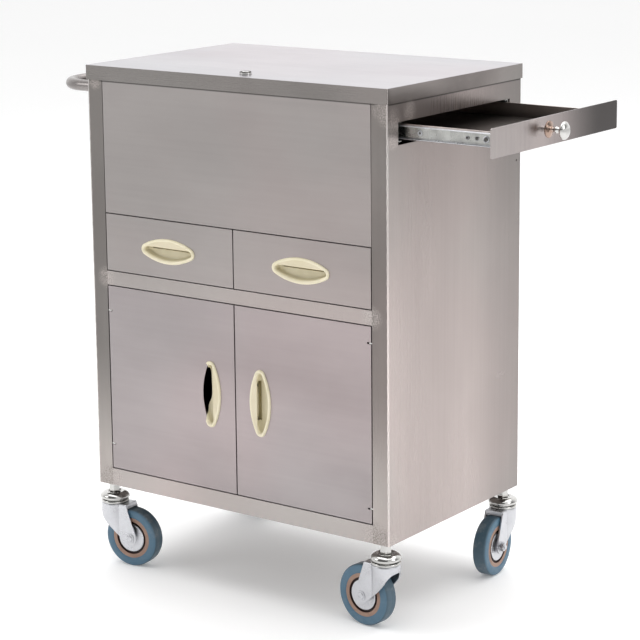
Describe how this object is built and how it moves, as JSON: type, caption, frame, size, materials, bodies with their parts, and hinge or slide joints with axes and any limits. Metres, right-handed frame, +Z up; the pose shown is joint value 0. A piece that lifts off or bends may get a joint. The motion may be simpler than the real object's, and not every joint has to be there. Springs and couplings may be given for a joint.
{
  "type": "instrument cart",
  "caption": "Wheeled stainless steel instrument cabinet with a hinged lid, drawers, a two-door cupboard, a pull-out side tray and a push handle.",
  "frame": {"origin": "on the floor, under the centre of the whole cart's box with the side tray pulled out as stored", "axes": "+X along the front towards the side tray, +Y from the front to the back, +Z up"},
  "size_m": [0.9064, 0.4052, 0.866],
  "materials": {
    "stainless": "brushed stainless sheet",
    "tube_steel": "satin stainless tube",
    "bright_metal": "bright plated",
    "zinc": "zinc plated pressing",
    "cream_plastic": "cream moulded plastic",
    "wheel_rubber": "blue-grey rubber tyre",
    "wheel_core": "tan moulded wheel centre",
    "black_rubber": "black rubber"
  },
  "bodies": {
    "cabinet": {"side_panel_left": "stainless", "side_panel_right": "stainless", "back_panel": "stainless", "upper_front_panel": "stainless", "corner_posts": "stainless", "bottom_rail": "stainless", "mid_rail": "stainless", "floor_panel": "stainless", "drawer_deck": "stainless", "drawer_divider": "stainless", "bin_floor": "stainless", "tray_bay_cover": "stainless", "top_rim": "stainless", "push_handle": "tube_steel", "lid_hinge_frame_leaves": "bright_metal", "lock_strike": "bright_metal", "tray_slide_brackets": "stainless", "tray_slide_outer": "zinc", "drawer_slide_outer": "zinc", "door_catches": "black_rubber", "door_pivot_arms": "bright_metal", "caster_sockets": "bright_metal", "caster_stems": "bright_metal", "caster_caps": "bright_metal", "lid_buffers": "black_rubber"},
    "lid": {"lid_pan": "stainless", "lid_hinge_leaves": "bright_metal", "lock_body": "bright_metal"},
    "lock_cylinder": {"lock_plug": "bright_metal"},
    "tray": {"tray_box": "stainless", "tray_front": "stainless", "tray_knob": "bright_metal", "tray_slide_inner": "zinc"},
    "tray_ball_cages": {"tray_slide_cages": "bright_metal"},
    "drawer_left": {"drawer_left_box": "stainless", "drawer_left_front": "stainless", "drawer_left_pull": "cream_plastic", "drawer_left_slide_inner": "zinc"},
    "drawer_left_ball_cages": {"drawer_left_cages": "bright_metal"},
    "drawer_right": {"drawer_right_box": "stainless", "drawer_right_front": "stainless", "drawer_right_pull": "cream_plastic", "drawer_right_slide_inner": "zinc"},
    "drawer_right_ball_cages": {"drawer_right_cages": "bright_metal"},
    "door_left": {"door_left_panel": "stainless", "door_left_pull": "cream_plastic"},
    "door_right": {"door_right_panel": "stainless", "door_right_pull": "cream_plastic"},
    "caster_fl_swivel": {"caster_fl_fork": "zinc"},
    "caster_fl_wheel": {"caster_fl_tyre": "wheel_rubber", "caster_fl_core": "wheel_core"},
    "caster_fr_swivel": {"caster_fr_fork": "zinc"},
    "caster_fr_wheel": {"caster_fr_tyre": "wheel_rubber", "caster_fr_core": "wheel_core"},
    "caster_rl_swivel": {"caster_rl_fork": "zinc"},
    "caster_rl_wheel": {"caster_rl_tyre": "wheel_rubber", "caster_rl_core": "wheel_core"},
    "caster_rr_swivel": {"caster_rr_fork": "zinc"},
    "caster_rr_wheel": {"caster_rr_tyre": "wheel_rubber", "caster_rr_core": "wheel_core"}
  },
  "joints": [
    {"name": "lid_hinge", "type": "hinge", "parent": "cabinet", "child": "lid", "pos_m": [-0.05975, 0.19865, 0.837], "axis": [-1, 0, 0], "range_deg": [0, 95]},
    {"name": "lock_turn", "type": "hinge", "parent": "lid", "child": "lock_cylinder", "pos_m": [-0.05175, -0.16535, 0.843], "axis": [0, 0, -1], "range_deg": [0, 90]},
    {"name": "tray_slide", "type": "slide", "parent": "cabinet", "child": "tray", "axis": [1, 0, 0], "range_m": [-0.178, 0.045]},
    {"name": "tray_cage_slide", "type": "slide", "parent": "cabinet", "child": "tray_ball_cages", "axis": [1, 0, 0], "range_m": [-0.089, 0.0225]},
    {"name": "drawer_left_slide", "type": "slide", "parent": "cabinet", "child": "drawer_left", "axis": [0, -1, 0], "range_m": [0, 0.255]},
    {"name": "drawer_left_cage_slide", "type": "slide", "parent": "cabinet", "child": "drawer_left_ball_cages", "axis": [0, -1, 0], "range_m": [0, 0.1275]},
    {"name": "drawer_right_slide", "type": "slide", "parent": "cabinet", "child": "drawer_right", "axis": [0, -1, 0], "range_m": [0, 0.255]},
    {"name": "drawer_right_cage_slide", "type": "slide", "parent": "cabinet", "child": "drawer_right_ball_cages", "axis": [0, -1, 0], "range_m": [0, 0.1275]},
    {"name": "door_left_hinge", "type": "hinge", "parent": "cabinet", "child": "door_left", "pos_m": [-0.32475, -0.19235, 0.333], "axis": [0, 0, -1], "range_deg": [0, 110]},
    {"name": "door_right_hinge", "type": "hinge", "parent": "cabinet", "child": "door_right", "pos_m": [0.20525, -0.19235, 0.333], "axis": [0, 0, 1], "range_deg": [0, 110]},
    {"name": "caster_fl_swivel_turn", "type": "hinge", "parent": "cabinet", "child": "caster_fl_swivel", "pos_m": [-0.34175, -0.17735, 0.113], "axis": [0, 0, 1], "continuous": true},
    {"name": "caster_fl_wheel_turn", "type": "hinge", "parent": "caster_fl_swivel", "child": "caster_fl_wheel", "pos_m": [-0.30412, -0.17206, 0.05], "axis": [-0.1392, 0.9903, 0], "continuous": true},
    {"name": "caster_fr_swivel_turn", "type": "hinge", "parent": "cabinet", "child": "caster_fr_swivel", "pos_m": [0.22225, -0.17735, 0.113], "axis": [0, 0, 1], "continuous": true},
    {"name": "caster_fr_wheel_turn", "type": "hinge", "parent": "caster_fr_swivel", "child": "caster_fr_wheel", "pos_m": [0.18443, -0.17371, 0.05], "axis": [-0.0958, -0.9954, 0], "continuous": true},
    {"name": "caster_rl_swivel_turn", "type": "hinge", "parent": "cabinet", "child": "caster_rl_swivel", "pos_m": [-0.34175, 0.17265, 0.113], "axis": [0, 0, 1], "continuous": true},
    {"name": "caster_rl_wheel_turn", "type": "hinge", "parent": "caster_rl_swivel", "child": "caster_rl_wheel", "pos_m": [-0.30488, 0.16346, 0.05], "axis": [0.2419, 0.9703, 0], "continuous": true},
    {"name": "caster_rr_swivel_turn", "type": "hinge", "parent": "cabinet", "child": "caster_rr_swivel", "pos_m": [0.22225, 0.17265, 0.113], "axis": [0, 0, 1], "continuous": true},
    {"name": "caster_rr_wheel_turn", "type": "hinge", "parent": "caster_rr_swivel", "child": "caster_rr_wheel", "pos_m": [0.2251, 0.13476, 0.05], "axis": [0.9972, 0.075, 0], "continuous": true}
  ],
  "couplings": [
    {"joint": "tray_cage_slide", "follows": "tray_slide", "ratio": 0.5},
    {"joint": "drawer_left_cage_slide", "follows": "drawer_left_slide", "ratio": 0.5},
    {"joint": "drawer_right_cage_slide", "follows": "drawer_right_slide", "ratio": 0.5}
  ]
}
